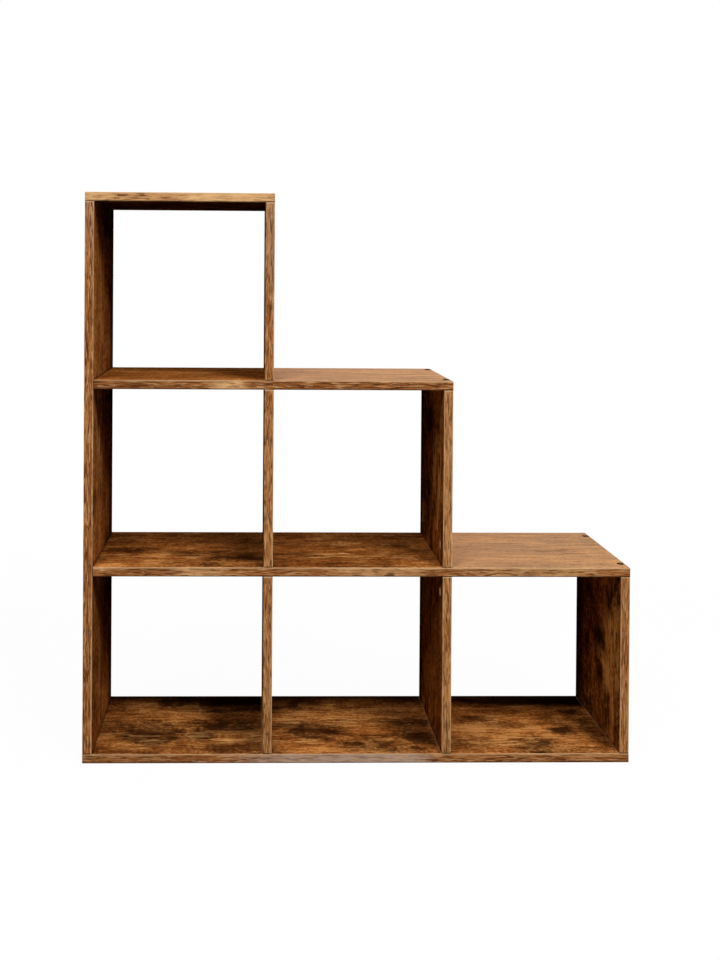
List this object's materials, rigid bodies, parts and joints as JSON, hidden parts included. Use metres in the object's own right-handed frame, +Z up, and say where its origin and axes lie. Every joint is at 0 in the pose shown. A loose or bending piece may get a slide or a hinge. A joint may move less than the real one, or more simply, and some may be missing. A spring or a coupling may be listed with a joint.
{
  "type": "staircase bookshelf",
  "caption": "Open-backed bookshelf of stepped cubby cells in rustic brown wood-effect board, going down like a staircase to one side, with banded edges and capped screws.",
  "frame": {"origin": "centre of the footprint, on the floor", "axes": "+Z up, -Y to the front, +X to the right, the way the steps go down"},
  "size_m": [0.9614, 0.295, 0.9988],
  "materials": {
    "board_laminate": "rustic brown wood-effect laminate, smoky streaks and knots, satin",
    "edge_band": "wood-print edge band, lighter and finer grain than the faces",
    "screw_steel": "zinc-plated steel",
    "cap_plastic": "dark brown moulded plastic",
    "cam_zinc": "bare die-cast zinc",
    "bolt_steel": "zinc-plated steel",
    "dowel_beech": "plain turned beech"
  },
  "bodies": {
    "root": {"bottom_panel": "board_laminate", "bottom_panel_edge_bands": "edge_band", "bottom_panel_end_dowels": "dowel_beech", "bottom_panel_screws": "screw_steel", "left_side_panel": "board_laminate", "left_side_panel_dowels": "dowel_beech", "left_side_panel_edge_bands": "edge_band", "left_side_panel_screw_caps": "cap_plastic", "left_side_panel_screws": "screw_steel", "lower_end_panel": "board_laminate", "lower_end_panel_edge_bands": "edge_band", "lower_left_divider": "board_laminate", "lower_left_divider_edge_bands": "edge_band", "lower_right_divider": "board_laminate", "lower_right_divider_edge_bands": "edge_band", "lower_shelf": "board_laminate", "lower_shelf_edge_bands": "edge_band", "lower_shelf_end_dowels": "dowel_beech", "lower_shelf_line_1_cam_bolts": "bolt_steel", "lower_shelf_line_1_cam_locks": "cam_zinc", "lower_shelf_line_1_through_dowel": "dowel_beech", "lower_shelf_line_2_cam_bolts": "bolt_steel", "lower_shelf_line_2_cam_locks": "cam_zinc", "lower_shelf_line_2_through_dowel": "dowel_beech", "lower_shelf_screw_caps": "cap_plastic", "lower_shelf_screws": "screw_steel", "middle_divider": "board_laminate", "middle_divider_edge_bands": "edge_band", "middle_end_panel": "board_laminate", "middle_end_panel_edge_bands": "edge_band", "middle_shelf": "board_laminate", "middle_shelf_edge_bands": "edge_band", "middle_shelf_end_dowels": "dowel_beech", "middle_shelf_line_1_cam_bolts": "bolt_steel", "middle_shelf_line_1_cam_locks": "cam_zinc", "middle_shelf_line_1_through_dowel": "dowel_beech", "middle_shelf_screw_caps": "cap_plastic", "middle_shelf_screws": "screw_steel", "top_panel": "board_laminate", "top_panel_edge_bands": "edge_band", "top_panel_end_dowels": "dowel_beech", "top_panel_screw_caps": "cap_plastic", "top_panel_screws": "screw_steel", "upper_end_panel": "board_laminate", "upper_end_panel_edge_bands": "edge_band"}
  },
  "joints": []
}
